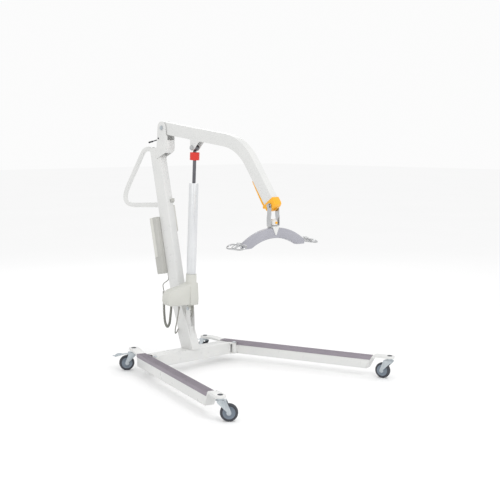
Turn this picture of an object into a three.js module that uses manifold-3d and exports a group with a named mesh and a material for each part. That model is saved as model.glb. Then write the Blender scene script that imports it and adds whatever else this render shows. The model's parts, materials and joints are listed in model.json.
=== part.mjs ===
// Mobile patient lift: spreading base on four casters, leaning mast, electric boom and sling spreader bar.
// Millimetres, +Z up, +X forward, +Y to the left of the person pushing it. Lengths are set here and nowhere else.
import * as THREE from 'three';
import { mergeVertices } from 'three/addons/utils/BufferGeometryUtils.js';
import Module from 'manifold-3d';

const wasm = await Module();
wasm.setup();

// ---------- driving dimensions ----------
const gap = 0.3;            // between pieces that touch in the real object
const rad = Math.PI / 180;

// base
const wheelRadius = 40;
const wheelWidth = 24;
const casterTrail = 38;
const wheelbase = 1060;     // rear stem to front stem along X with the legs spread
const rearTrack = 249;      // half distance between the rear stems
const spread = 17.3 * rad;  // leg angle when spread, as modelled
const legWidth = 50;
const legBottom = 44;
const legTop = 105;         // metal; the pad lies on it
const padThickness = 3;
const armThickness = 12;
const stemTop = 118;        // top face of the caster arms
const pivotX = 215;
const pivotY = 274;
const pivotPinRadius = 7;
const crossbeamX = [125, 207];
const crossbeamZ = [46, 106];
const crossbeamHalf = 256;
const wall = 3;

// mast
const mastDepth = 78;
const mastWidth = 46;
const mastLean = 12.5 * rad;
const footLean = 21 * rad;
const kneeX = 88.6;         // mast centre line at the knee
const kneeZ = 322;
const mastTop = 1170;
const sleeveWall = 3;
const handleRadius = 13;

// boom and its pivots
const mastHeadX = kneeX - Math.tan(mastLean) * (mastTop - kneeZ);
const boomPivot = [mastHeadX + 70.4, mastTop + 107.5];
const boomDepth = 64;
const boomWidth = 40;
const boomSlope = 7.4 * rad;
const boomStraight = 496.7;      // from the pivot to the start of the bend
const boomBendRadius = 300;
const boomTipSlope = 53.6 * rad;
const boomTipLength = 267;       // straight part after the bend
const clevisAlong = 256.4;       // from the boom pivot, along the boom
const clevisBelow = 72.1;        // below the boom's centre line
const basePin = [kneeX + 81.4, kneeZ];

// lift actuator
const tubeRadius = 24.5;
const tubeBottom = 187;     // measured along the actuator from its base pin, like the next two
const tubeTop = 669;
const rodBottom = tubeTop - 159;
const rodRadius = 9;
const collarLength = 41;
const collarBelowEye = 23.2;

// spreader
const barHalf = 205;
const barDrop = 106;        // top of the bar below the hanger pin
const barHeight = 51;
const barTipHeight = 24;
const barThickness = 34;
const barOuterRadius = 344;
const barInnerRadius = 315;
const loopReach = 63;
const loopAcross = 48;
const wire = 4;
const loopTilt = 25 * rad;
const latchHalf = 12;

// ---------- boom line ----------
const along = [Math.cos(boomTipSlope), -Math.sin(boomTipSlope)];   // down the tip
const outwards = [Math.sin(boomTipSlope), Math.cos(boomTipSlope)]; // towards the top side
// point on the straight part: a along the boom from its pivot, b below its centre line
const boomPoint = (a, b) => [
  boomPivot[0] + a * Math.cos(boomSlope) - b * Math.sin(boomSlope),
  boomPivot[1] - a * Math.sin(boomSlope) - b * Math.cos(boomSlope),
];
const bendCentre = boomPoint(boomStraight, boomBendRadius - boomDepth / 2);

// point on the tip: a down the tip from the end of the bend, b below the top side
function tipPoint(a, b) {
  const r = boomBendRadius - b;
  return [bendCentre[0] + r * outwards[0] + a * along[0], bendCentre[1] + r * outwards[1] + a * along[1]];
}

const hangerPin = tipPoint(boomTipLength - 10, boomDepth / 2);
const clevisPin = boomPoint(clevisAlong, clevisBelow);
const barCrest = hangerPin[1] - barDrop;

// ---------- helpers ----------
const point = (x, y) => new THREE.Vector2(x, y);
const vec = (x, y, z) => new THREE.Vector3(x, y, z);

function manifoldOf(geometry) {
  const plain = geometry.clone();
  plain.deleteAttribute('normal');
  plain.deleteAttribute('uv');
  const merged = mergeVertices(plain, 1e-4);
  const mesh = new wasm.Mesh({
    numProp: 3,
    vertProperties: new Float32Array(merged.attributes.position.array),
    triVerts: new Uint32Array(merged.index.array),
  });
  return new wasm.Manifold(mesh);
}

function geometryOf(solid) {
  const mesh = solid.getMesh();
  const geometry = new THREE.BufferGeometry();
  geometry.setAttribute('position', new THREE.BufferAttribute(new Float32Array(mesh.vertProperties), 3));
  geometry.setIndex(new THREE.BufferAttribute(new Uint32Array(mesh.triVerts), 1));
  geometry.computeVertexNormals();
  return geometry;
}

const join = (...solids) => solids.reduce((a, b) => a.add(b));
const cut = (solid, ...tools) => tools.reduce((a, b) => a.subtract(b), solid);

function arc(cx, cy, radius, from, to, steps) {
  const points = [];
  for (let i = 0; i <= steps; i++) {
    const a = (from + (to - from) * i / steps) * rad;
    points.push([cx + radius * Math.cos(a), cy + radius * Math.sin(a)]);
  }
  return points;
}

function extruded(outline, depth, bevel = 0) {
  const shape = new THREE.Shape(outline.map(([x, y]) => point(x, y)));
  return new THREE.ExtrudeGeometry(shape, {
    depth: depth - 2 * bevel,
    bevelEnabled: bevel > 0,
    bevelThickness: bevel,
    bevelSize: bevel,
    bevelOffset: -bevel,
    bevelSegments: 2,
  }).translate(0, 0, bevel);
}

// outline in X and Z, thickness along Y
function platXZ(outline, y0, y1, bevel = 0) {
  return manifoldOf(extruded(outline, y1 - y0, bevel).rotateX(Math.PI / 2).translate(0, y1, 0));
}

// outline in Y and Z, thickness along X
function platYZ(outline, x0, x1, bevel = 0) {
  const basis = new THREE.Matrix4().makeBasis(vec(0, 1, 0), vec(0, 0, 1), vec(1, 0, 0));
  return manifoldOf(extruded(outline, x1 - x0, bevel).applyMatrix4(basis).translate(x0, 0, 0));
}

// outline in X and Y, thickness along Z
function platXY(outline, z0, z1, bevel = 0) {
  return manifoldOf(extruded(outline, z1 - z0, bevel).translate(0, 0, z0));
}

function block(x0, x1, y0, y1, z0, z1) {
  return manifoldOf(new THREE.BoxGeometry(x1 - x0, y1 - y0, z1 - z0)
    .translate((x0 + x1) / 2, (y0 + y1) / 2, (z0 + z1) / 2));
}

function rod(from, to, radius, sides = 20, endRadius = radius) {
  const axis = vec(...to).sub(vec(...from));
  const turn = new THREE.Quaternion().setFromUnitVectors(vec(0, 1, 0), axis.clone().normalize());
  const middle = vec(...from).add(vec(...to)).multiplyScalar(0.5);
  return manifoldOf(new THREE.CylinderGeometry(endRadius, radius, axis.length(), sides)
    .applyQuaternion(turn).translate(middle.x, middle.y, middle.z));
}

const across = (x, z, y0, y1, radius, sides = 20) => rod([x, y0, z], [x, y1, z], radius, sides);
const upright = (x, y, z0, z1, radius, sides = 20) => rod([x, y, z0], [x, y, z1], radius, sides);

// turned about the Z axis from [radius, height] pairs
function turned(profile, sides = 24) {
  return manifoldOf(new THREE.LatheGeometry(profile.map(([r, z]) => point(r, z)), sides).rotateX(Math.PI / 2));
}

function circle(radius, sides) {
  return arc(0, 0, radius, 0, 360 - 360 / sides, sides - 1);
}

function sweep(curve, radius, sides, steps) {
  const shape = new THREE.Shape(circle(radius, sides).map(([x, y]) => point(x, y)));
  return manifoldOf(new THREE.ExtrudeGeometry(shape, { steps, extrudePath: curve, bevelEnabled: false }));
}

// straight runs joined by rounded corners
function bentPath(points, radius) {
  const path = new THREE.CurvePath();
  let start = vec(...points[0]);
  for (let i = 1; i < points.length - 1; i++) {
    const corner = vec(...points[i]);
    const before = vec(...points[i - 1]).sub(corner).normalize();
    const after = vec(...points[i + 1]).sub(corner).normalize();
    const half = before.angleTo(after) / 2;
    const reach = radius / Math.tan(half);
    const a = corner.clone().addScaledVector(before, reach);
    const b = corner.clone().addScaledVector(after, reach);
    path.add(new THREE.LineCurve3(start, a));
    path.add(new THREE.QuadraticBezierCurve3(a, corner, b));
    start = b;
  }
  path.add(new THREE.LineCurve3(start, vec(...points[points.length - 1])));
  return path;
}

function cord(points, radius, steps, sides = 8) {
  return sweep(new THREE.CatmullRomCurve3(points.map((p) => vec(...p))), radius, sides, steps);
}

// ---------- finishes ----------
const finishes = {
  white: [0xe8e8e4, 0.0, 0.4],
  grey: [0xc8c8c2, 0.0, 0.5],
  controller: [0xb0b0ab, 0.0, 0.5],
  pad: [0x8f8890, 0.0, 0.7],
  zinc: [0xb9c0c4, 0.9, 0.35],
  steel: [0xb4b4b4, 1.0, 0.25],
  alu: [0xd8dadc, 0.9, 0.3],
  dark: [0x2c2e33, 0.1, 0.5],
  tyre: [0x3c3d42, 0.0, 0.8],
  hub: [0x7d8794, 0.0, 0.6],
  yellow: [0xf0aa10, 0.0, 0.45],
  red: [0xd23a30, 0.0, 0.4],
  bar: [0xa5a5aa, 0.0, 0.45],
  cable: [0x7d7d76, 0.0, 0.6],
};

const part = new THREE.Group();
part.name = 'patient_lift';
const lift = new THREE.Group();   // everything, with X = 0 over the rear stems of the spread legs
part.add(lift);

function add(name, finish, solid, parent = lift) {
  const [color, metalness, roughness] = finishes[finish];
  const mesh = new THREE.Mesh(geometryOf(solid), new THREE.MeshStandardMaterial({ color, metalness, roughness }));
  mesh.name = name;
  parent.add(mesh);
}

function groupAt(parent, x, y, z) {
  const group = new THREE.Group();
  group.position.set(x, y, z);
  parent.add(group);
  return group;
}

// ---------- mast line ----------
const mastSpan = mastDepth / Math.cos(mastLean);   // level width of the upper mast
const footSpan = mastDepth / Math.cos(footLean);
const mastCentre = (z) => kneeX - Math.tan(mastLean) * (z - kneeZ);
const footCentre = (z) => kneeX + Math.tan(footLean) * (kneeZ - z);
const rearFace = (z) => mastCentre(z) - mastSpan / 2;
const frontFace = (z) => mastCentre(z) + mastSpan / 2;

function mastOutline(grow, bottom, top) {
  const upper = mastSpan / 2 + grow / Math.cos(mastLean);
  const lower = footSpan / 2 + grow / Math.cos(footLean);
  const level = (z) => {
    return z >= kneeZ ? [mastCentre(z), upper] : [footCentre(z), lower];
  };
  const heights = bottom < kneeZ && top > kneeZ ? [bottom, kneeZ, top] : [bottom, top];
  const sides = heights.map((z) => [...level(z), z]);
  return [
    ...sides.map(([x, half, z]) => [x + half, z]),
    ...sides.reverse().map(([x, half, z]) => [x - half, z]),
  ];
}

// a group square to the mast: local Z up along it, local X forward
function leaningGroup(x, z) {
  const group = groupAt(lift, x, 0, z);
  group.rotation.y = -mastLean;
  return group;
}

const mastFootBottom = crossbeamZ[1] + gap;

function buildMast() {
  const bottom = mastFootBottom + 6;
  const outside = platXZ(mastOutline(0, bottom, mastTop), -mastWidth / 2, mastWidth / 2);
  const inside = platXZ(mastOutline(-wall, bottom - 5, mastTop + 5), -mastWidth / 2 + wall, mastWidth / 2 - wall);
  add('mast', 'white', cut(outside, inside));
}

function buildMastFoot() {
  const half = mastWidth / 2 + gap + sleeveWall;
  const sleeve = [];
  const rearWall = footSpan / 2 + 5;
  const rearX = (z) => footCentre(z) - rearWall;
  const frontX = (z) => footCentre(z) + rearWall;
  sleeve.push([rearX(mastFootBottom), mastFootBottom], [frontX(mastFootBottom), mastFootBottom]);
  sleeve.push([frontX(268), 268], [rearX(192), 192]);
  let foot = platXZ(sleeve, -half, half);
  foot = cut(foot, platXZ(mastOutline(gap, mastFootBottom + 5, kneeZ + 60), -half + sleeveWall, half - sleeveWall));
  // two upright plates carry the actuator's base pin
  const [bx, bz] = basePin;
  const ear = [
    [frontX(150) - 3, 150], [frontX(190) + 4, 190], [bx + 16, bz - 30],
    ...arc(bx, bz, 14, -20, 200, 10),
    [frontX(262) - 12, 268], [frontX(230) - 3, 230],
  ];
  for (const side of [-1, 1]) {
    const y = [side * 13, side * 17].sort((a, b) => a - b);
    const plate = cut(platXZ(ear, ...y), across(bx, bz, y[0] - 1, y[1] + 1, 6 + gap, 16));
    foot = join(foot, cut(plate, platXZ(mastOutline(gap, mastFootBottom + 5, kneeZ + 60), -half, half)));
  }
  const weld = block(frontX(215) - 6, frontX(215) + 3, -17, 17, 200, 225);
  foot = join(foot, cut(weld, platXZ(mastOutline(gap, mastFootBottom + 5, kneeZ + 60), -half, half)));
  add('mast_foot', 'white', foot);
  add('actuator_base_pin', 'steel', join(
    across(bx, bz, -17.4, 17.4, 6, 16),
    across(bx, bz, -20.4, -17.3, 9, 16),
    across(bx, bz, 17.3, 20.4, 9, 16),
  ));
}

function buildHead() {
  const inner = mastWidth / 2 + gap;
  const outer = inner + wall;
  const [px, pz] = boomPivot;
  const outline = [
    ...arc(px, pz, 34, 0, 180, 14),
    [px - 50, pz - 168.5], [px + 23, pz - 134.5], [px + 41, pz - 125.5], [px + 47, pz - 109.5],
    [px + 47, pz - 45.5], [px + 37, pz - 37.5],
  ];
  const front = [[px + 44, pz - 109.5], [px + 47, pz - 109.5], [px + 47, pz - 65.5], [px + 44, pz - 65.5]];
  const under = [
    [px + 23, pz - 134], [px + 41, pz - 125.5], [px + 47, pz - 109.5], [px + 44, pz - 108.5],
    [px + 39, pz - 122.5], [px + 22, pz - 130.5],
  ];
  let yoke = join(platXZ(outline, -outer, -inner), platXZ(outline, inner, outer));
  yoke = join(yoke, platXZ(front, -outer, outer), platXZ(under, -outer, outer));
  yoke = cut(yoke, platXZ(mastOutline(gap, 900, mastTop + gap), -inner + 0.01, inner - 0.01));
  yoke = cut(yoke, across(px, pz, -40, 40, 8 + gap), across(...leverHinge, -40, 40, 4 + gap, 12));
  add('mast_head_yoke', 'white', yoke);
  add('boom_pivot_bolt', 'dark', join(
    across(px, pz, -outer - 1, outer + 1, 8),
    across(px, pz, -outer - 4, -outer - gap, 11),
    across(px, pz, outer + gap, outer + 4, 11),
  ));
}

const leverHinge = [boomPivot[0] - 27, boomPivot[1] - 56.5];

function buildLockLever() {
  const [x, z] = leverHinge;
  const hub = join(across(x, z, -22, 22, 7, 16), across(x, z, -mastWidth / 2 - 5.5, mastWidth / 2 + 5.5, 4, 12));
  const bar = rod([x, 0, z], [x - 114, 0, z - 22], 3, 10);
  const grip = rod([x - 84, 0, z - 16.2], [x - 116, 0, z - 22.4], 4.5, 12);
  add('lock_lever', 'dark', join(hub, bar, grip));
}

function buildHandle() {
  const high = mastTop - 12;
  const low = mastTop - 308;
  const path = bentPath([
    [rearFace(high) + 20, 0, high], [mastHeadX - 108.6, 0, high + 10], [mastHeadX - 348.6, 0, low - 19],
    [rearFace(low) + 20, 0, low],
  ], 70);
  const mastBody = platXZ(mastOutline(gap, low - 160, mastTop + 40), -mastWidth, mastWidth);
  add('push_handle', 'white', cut(sweep(path, handleRadius, 14, 30), mastBody));
}

// ---------- control box and handset ----------
const boxZ = 500;           // lower end of the control box on the mast
const boxHeight = 307;      // measured along the mast
const boxDepth = 60;
const boxHalfWidth = 49;
const batteryHeight = 215;
const batteryDepth = 30;
const stopHeight = 46;      // emergency stop above the lower end

function roundedRect(x0, x1, y0, y1, r, steps = 3) {
  return [
    ...arc(x1 - r, y0 + r, r, -90, 0, steps), ...arc(x1 - r, y1 - r, r, 0, 90, steps),
    ...arc(x0 + r, y1 - r, r, 90, 180, steps), ...arc(x0 + r, y0 + r, r, 180, 270, steps),
  ];
}

function buildControls() {
  const split = boxHeight - batteryHeight;
  const group = leaningGroup(rearFace(boxZ), boxZ);
  const body = platXY(roundedRect(-boxDepth, -0.5, -boxHalfWidth, boxHalfWidth, 7), 0, boxHeight, 2);
  const bay = block(-boxDepth - 5, -boxDepth + batteryDepth, -boxHalfWidth - 5, boxHalfWidth + 5, split, boxHeight + 5);
  const well = rod([-boxDepth - 1, 0, stopHeight], [-boxDepth + 12, 0, stopHeight], 9 + gap);
  add('control_box', 'controller', cut(body, bay, well), group);
  const pack = platXY(
    roundedRect(-boxDepth, -boxDepth + batteryDepth - gap, -boxHalfWidth, boxHalfWidth, 7), split + gap, boxHeight, 2);
  add('battery_pack', 'grey', pack, group);
  add('emergency_stop', 'red', join(
    rod([-boxDepth - 6, 0, stopHeight], [-boxDepth + 7, 0, stopHeight], 9),
    rod([-boxDepth - 16, 0, stopHeight], [-boxDepth - 5, 0, stopHeight], 12, 20, 16),
  ), group);
}

const handsetY = [mastWidth / 2 + 3, mastWidth / 2 + 27];
const handsetTop = 862;
const handsetLength = 150;
const handsetBack = 43;     // its middle behind the mast's front face

function buildHandset() {
  const group = leaningGroup(frontFace(handsetTop) - handsetBack, handsetTop);
  const [y0, y1] = handsetY;
  let body = platXZ(roundedRect(-20, 20, -handsetLength, 0, 10, 4), y0, y1, 3);
  const rows = [-38, -80];
  for (const z of rows) {
    body = cut(body, block(-15, 15, y1 - 5, y1 + 5, z - 13, z + 13));
  }
  body = cut(body, rod([0, (y0 + y1) / 2, -handsetLength - 1], [0, (y0 + y1) / 2, -handsetLength + 14], 3.6, 12));
  add('handset', 'grey', body, group);
  ['handset_rocker_lift', 'handset_rocker_legs'].forEach((name, i) => {
    const z = rows[i];
    const outline = [
      [y1 - 3.6, z - 12.4], [y1 + 1.6, z - 12.4], [y1 + 0.4, z], [y1 + 1.6, z + 12.4], [y1 - 3.6, z + 12.4],
      [y1 - 4.6, z],
    ];
    add(name, 'dark', platYZ(outline, -14.4, 14.4), group);
  });
  // the hook wraps the mast's front corner, and its peg takes the loop at the handset's top
  const face = handsetBack * Math.cos(mastLean);
  const clip = [[12, 6], [face + 1, 6], [face + 11, 12], [face + 11, 28], [face + 1, 24], [12, 24]];
  add('handset_hook', 'controller', join(
    platXZ(clip, mastWidth / 2 + gap, mastWidth / 2 + 2.6),
    platXZ(clip.slice(1, 5), 4, mastWidth / 2 + 2.6),
    across(18, 15, mastWidth / 2 + gap, mastWidth / 2 + 24, 3, 12),
    rod([18, mastWidth / 2 + 22, 15], [2, mastWidth / 2 + 22, 8], 3, 12),
  ), group);
}

// ---------- boom ----------
function boomOutline(inset, rearExtra, tipExtra) {
  const down = [-Math.sin(boomSlope), -Math.cos(boomSlope)];
  const back = [-Math.cos(boomSlope), Math.sin(boomSlope)];
  const half = boomDepth / 2 - inset;
  const from = 90 - boomSlope / rad;
  const to = 90 - boomTipSlope / rad;
  const rear = (side) => [
    boomPivot[0] + back[0] * rearExtra + side * down[0] * half,
    boomPivot[1] + back[1] * rearExtra + side * down[1] * half,
  ];
  return [
    rear(-1), rear(1),
    ...arc(...bendCentre, boomBendRadius - boomDepth + inset, from, to, 10),
    tipPoint(boomTipLength + tipExtra, boomDepth - inset),
    tipPoint(boomTipLength + tipExtra, inset),
    ...arc(...bendCentre, boomBendRadius - inset, to, from, 12),
  ];
}

function clevisOutline() {
  const [cx, cz] = clevisPin;
  return [...arc(cx, cz, 16, 180, 300, 7), [cx + 50, cz + 28], [cx + 82, cz + 42], [cx - 16, cz + 60]];
}

function buildBoom() {
  const half = boomWidth / 2;
  let boom = platXZ(boomOutline(0, 6, 0), -half, half);
  boom = join(boom, across(...boomPivot, -half, half, boomDepth / 2 - 1, 28));
  boom = cut(boom, platXZ(boomOutline(wall, -40, 20), -half + wall, half - wall));
  const cheeks = join(platXZ(clevisOutline(), -half, -half + 4), platXZ(clevisOutline(), half - 4, half));
  boom = join(boom, cut(cheeks, platXZ(boomOutline(wall / 2, 6, 0), -half + 0.5, half - 0.5)));
  boom = cut(boom, platXZ(boomOutline(wall, -40, 20), -half + wall, half - wall));
  boom = cut(
    boom, across(...boomPivot, -40, 40, 8 + 2 * gap, 24), across(...clevisPin, -40, 40, 7, 16),
    across(...hangerPin, -40, 40, 6 + gap, 16),
  );
  add('boom', 'white', boom);
  for (const [name, side] of [['clevis_bolt_head', -1], ['clevis_bolt_nut', 1]]) {
    const bolt = join(
      across(...clevisPin, side * (half - 4), side * (half + gap + 1), 7 - gap, 16),
      across(...clevisPin, side * (half + gap), side * (half + 7), side < 0 ? 12 : 10, side < 0 ? 20 : 6),
    );
    add(name, 'steel', bolt);
  }
}

const capStart = boomTipLength - 36;
const capEnd = boomTipLength + 8;
const leverHingeAt = [capStart + 7, boomDepth + 9];   // down the tip, below its top side
const leverBase = tipPoint(...leverHingeAt);

function buildBoomEnd() {
  const half = boomWidth / 2;
  const outer = [
    tipPoint(capStart, -4), tipPoint(capStart, boomDepth + 4), tipPoint(capEnd - 14, boomDepth + 4),
    tipPoint(capEnd - 4, boomDepth - 2), tipPoint(capEnd, boomDepth - 14), tipPoint(capEnd, 12),
    tipPoint(capEnd - 5, 0), tipPoint(capEnd - 16, -4),
  ];
  let cap = platXZ(outer, -half - 4, half + 4, 3);
  const ears = platXZ([
    tipPoint(capStart, boomDepth + 2), tipPoint(capStart, boomDepth + 10),
    tipPoint(capStart + 3, boomDepth + 16), tipPoint(capStart + 12, boomDepth + 16),
    tipPoint(capStart + 20, boomDepth + 2),
  ], -half - 1, half + 1);
  const slot = platXZ([
    tipPoint(capStart - 5, boomDepth + 4.4), tipPoint(capStart - 5, boomDepth + 30),
    tipPoint(capStart + 30, boomDepth + 30), tipPoint(capStart + 30, boomDepth + 4.4),
  ], -half + 5, half - 5);
  cap = join(cap, cut(ears, slot));
  cap = cut(cap, platXZ(boomOutline(-gap, 0, gap), -half - gap, half + gap));
  const recess = platXZ([
    tipPoint(capEnd - 4, 22), tipPoint(capEnd - 4, 46), tipPoint(capEnd + 5, 46), tipPoint(capEnd + 5, 22),
  ], -9, 9);
  cap = cut(
    cap, recess, across(...hangerPin, -40, 40, 6 + gap, 16), across(...leverBase, -40, 40, 2.5 + gap, 12),
  );
  add('boom_end_cap', 'yellow', cap);
  add('hanger_pin', 'steel', join(
    across(...hangerPin, -34.5, 34.5, 6, 16), across(...hangerPin, -38, -34.4, 9), across(...hangerPin, 34.4, 38, 9),
  ));
  const lever = platXZ([
    ...arc(...leverHingeAt, 4.3, -90, 90, 6).map(([a, b]) => tipPoint(a, b)),
    tipPoint(capStart - 16, boomDepth + 18), tipPoint(capStart - 90, boomDepth + 13),
    tipPoint(capStart - 142, boomDepth + 10), tipPoint(capStart - 146, boomDepth + 5),
    tipPoint(capStart - 140, boomDepth + 2), tipPoint(capStart - 16, boomDepth + 4.8),
  ], -14, 14, 1.2);
  add('release_lever', 'yellow', join(lever, across(...leverBase, -half - 0.5, half + 0.5, 2.5, 12)));
}

// ---------- lift actuator ----------
const actuatorAxis = vec(clevisPin[0] - basePin[0], 0, clevisPin[1] - basePin[1]);
const actuatorLength = actuatorAxis.length();

function buildActuator() {
  // local Z runs along the actuator from its base pin
  const group = groupAt(lift, basePin[0], 0, basePin[1]);
  group.quaternion.setFromUnitVectors(vec(0, 0, 1), actuatorAxis.clone().normalize());
  const motor = platYZ([
    [27, 24], [28, 60], [26, 140], [-26, 140], [-64, 128], [-140, 115], [-161, 104], [-173, 82], [-174, 56],
    [-166, 38], [-150, 30],
  ], -28, 28, 7);
  const gearbox = platXZ([[-27, 24], [37, 24], [38, 60], [29, 140], [-27, 140]], -27, 27, 6);
  const neck = rod([0, 0, 120], [0, 0, tubeBottom], 30, 24, 28);
  const eye = cut(join(across(0, 0, -12.4, 12.4, 14), block(-12, 12, -12.4, 12.4, 4, 40)), across(0, 0, -20, 20, 6 + gap, 16));
  const housing = cut(join(motor, gearbox, neck), rod([0, 0, tubeBottom - 20], [0, 0, tubeBottom + 5], tubeRadius - 2, 24));
  add('motor_housing', 'grey', join(housing, eye), group);
  const tube = join(
    upright(0, 0, tubeBottom + gap, tubeTop, tubeRadius, 28),
    upright(0, 0, tubeBottom - 19, tubeBottom + 1, tubeRadius - 2 - gap, 24),
    block(-tubeRadius - 4, -10, -9, 9, tubeBottom + gap, tubeTop - 4),
  );
  const bore = upright(0, 0, rodBottom - 120, tubeTop + 5, rodRadius + 2 * gap, 20);
  add('actuator_tube', 'alu', cut(tube, bore), group);
  const shaft = upright(0, 0, rodBottom, actuatorLength - 15, rodRadius, 20);
  const end = across(0, actuatorLength, -14, 14, 16);
  add('actuator_rod', 'steel', join(shaft, end), group);
  const collarTop = actuatorLength - collarBelowEye;
  const collar = cut(
    upright(0, 0, collarTop - collarLength, collarTop, 25, 28),
    upright(0, 0, tubeTop, actuatorLength, rodRadius + 2 * gap, 20),
  );
  add('emergency_collar', 'red', collar, group);
}

// ---------- hanger and spreader ----------
const strapZ = hangerPin[1] - 98;    // lower face of the stirrup's cross strap
const strapThickness = 4;
const hubX = hangerPin[0];

function buildHanger() {
  const z = hangerPin[1];
  const side = [[25, z], [25, z - 42], [28, z - 58], [28, strapZ + strapThickness]];
  const outline = [
    ...side, ...side.slice().reverse().map(([a, b]) => [-a, b]), [-29, z], [-29, z - 41], [-32, z - 57],
    [-32, strapZ], [32, strapZ], [32, z - 57], [29, z - 41], [29, z],
  ];
  let stirrup = platYZ(outline, hubX - 13, hubX + 13);
  stirrup = join(
    stirrup, across(...hangerPin, -29, -25, 13), across(...hangerPin, 25, 29, 13),
  );
  stirrup = cut(stirrup, across(...hangerPin, -40, 40, 6 + gap, 16), upright(hubX, 0, strapZ - 20, strapZ + 20, 10.5, 24));
  add('hanger_stirrup', 'steel', stirrup);
}

const barTop = (y) => barCrest - barOuterRadius + Math.sqrt(barOuterRadius ** 2 - y ** 2);
const tipUnder = barTop(barHalf) - barTipHeight;
const barUnder = (y) => Math.max(
  tipUnder, barCrest - barHeight - barInnerRadius + Math.sqrt(barInnerRadius ** 2 - y ** 2));

function barOutline(grow) {
  const steps = 24;
  const top = [];
  const under = [];
  for (let i = 0; i <= steps; i++) {
    const y = -barHalf - grow + 2 * (barHalf + grow) * i / steps;
    top.push([y, barTop(Math.min(Math.abs(y), barHalf)) + grow]);
    under.push([y, barUnder(Math.min(Math.abs(y), barHalf)) - grow]);
  }
  return [...under, ...top.reverse()];
}

function buildSpreader() {
  const x0 = hubX - barThickness / 2;
  const x1 = hubX + barThickness / 2;
  const tipMid = (barTop(barHalf) + barUnder(barHalf)) / 2;
  let bar = platYZ(barOutline(0), x0, x1, 8);
  for (const side of [-1, 1]) {
    bar = cut(bar, rod([hubX, side * (barHalf - 22), tipMid], [hubX, side * (barHalf + 5), tipMid], 5 + gap, 16));
  }
  add('spreader_bar', 'bar', bar);

  const hub = turned([
    [0, barCrest + 2], [23, barCrest + 2], [23, strapZ - 1], [9.5, strapZ - 1], [9.5, strapZ + strapThickness + 1],
    [20, strapZ + strapThickness + 1], [21, strapZ + 24], [12, strapZ + 33], [0, strapZ + 34],
  ]);
  // a pointed cheek hangs down over each face of the bar
  const cheeks = platYZ([[-23, strapZ - 1], [-3, barCrest - 36], [3, barCrest - 36], [23, strapZ - 1]], x0 - 4, x1 + 4, 1.5);
  const buttonWell = rod([hubX + 10, 0, strapZ + 16], [hubX + 30, 0, strapZ + 16], 6 + gap, 16);
  const body = join(hub.translate([hubX, 0, 0]), cheeks);
  add('spreader_hub', 'white', cut(body, platYZ(barOutline(gap), x0 - gap, x1 + gap), buttonWell));
  add('hub_button', 'yellow', rod([hubX + 14, 0, strapZ + 16], [hubX + 24.5, 0, strapZ + 16], 6, 16));

  for (const [name, side] of [['left', 1], ['right', -1]]) {
    // hook frame: origin in the middle of the wire loop, +Y away from the bar and dipping by the loop's tilt
    const middle = barHalf + 12 + loopAcross / 2;
    const group = groupAt(lift, hubX, side * middle, tipMid + 2);
    group.rotation.x = -side * loopTilt;
    group.scale.y = side;
    const inner = -loopAcross / 2 - 6;
    const loop = (reach, half) => roundedRect(-reach, reach, -half, half, half - 0.5, 8);
    const ring = cut(
      platXY(loop(loopReach, loopAcross / 2), -wire, wire, 2.6),
      platXY(loop(loopReach - 2 * wire, loopAcross / 2 - 2 * wire), -10, 10),
    );
    // level in the bar's end, then up into the plane of the loop
    const inLoop = (y) => vec(0, y - middle, -2).applyAxisAngle(vec(1, 0, 0), loopTilt).toArray();
    const stalk = [inLoop(barHalf - 20), inLoop(barHalf + 8), [0, inner + 10, 0], [0, loopAcross / 2 - wire, 0]];
    const rods = stalk.slice(1).map((end, i) => rod(stalk[i], end, 5, 16));
    add(`hook_loop_${name}`, 'steel', join(ring, ...rods), group);
    const latch = bentPath([
      [-latchHalf, inner + 6, 8], [-latchHalf, loopAcross / 2 - 2, 7.2], [latchHalf, loopAcross / 2 - 2, 7.2],
      [latchHalf, inner + 6, 8],
    ], 6);
    add(`hook_latch_${name}`, 'steel', join(
      sweep(latch, 1.8, 8, 24), rod([-latchHalf - 1.5, inner + 6, 8], [latchHalf + 1.5, inner + 6, 8], 2, 10),
    ), group);
  }
}

// ---------- base ----------
const legLength = wheelbase / Math.cos(spread);
const rearStem = -(pivotX * Math.cos(spread) + (pivotY - rearTrack) * Math.sin(spread));  // along the leg from its pivot
const frontStem = rearStem + legLength;
const legAside = pivotX * Math.sin(spread) - (pivotY - rearTrack) * Math.cos(spread);     // leg centre line from pivot
const legStart = rearStem + 113;
const legEnd = frontStem - 125;     // lower edge of the slanted front end
const endSlant = Math.tan(28 * rad);
const tubeHalf = legWidth / 2 - 2;
const slantAt = (z) => legEnd + (z - legBottom) * endSlant;

// leg frame: origin on the leg pivot, X along the leg, +Y away from the other leg
function legGroup(side) {
  const group = groupAt(lift, pivotX, side * pivotY, 0);
  group.rotation.z = side * spread;
  group.scale.y = side;
  return group;
}

function armPlan(stem, inner) {
  const reach = 25;
  const towards = Math.sign(inner - stem);
  const round = arc(stem, legAside, reach, towards > 0 ? 90 : -90, towards > 0 ? 270 : 90, 12);
  return [...round, [inner, legAside - towards * tubeHalf], [inner, legAside + towards * tubeHalf]];
}

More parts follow.
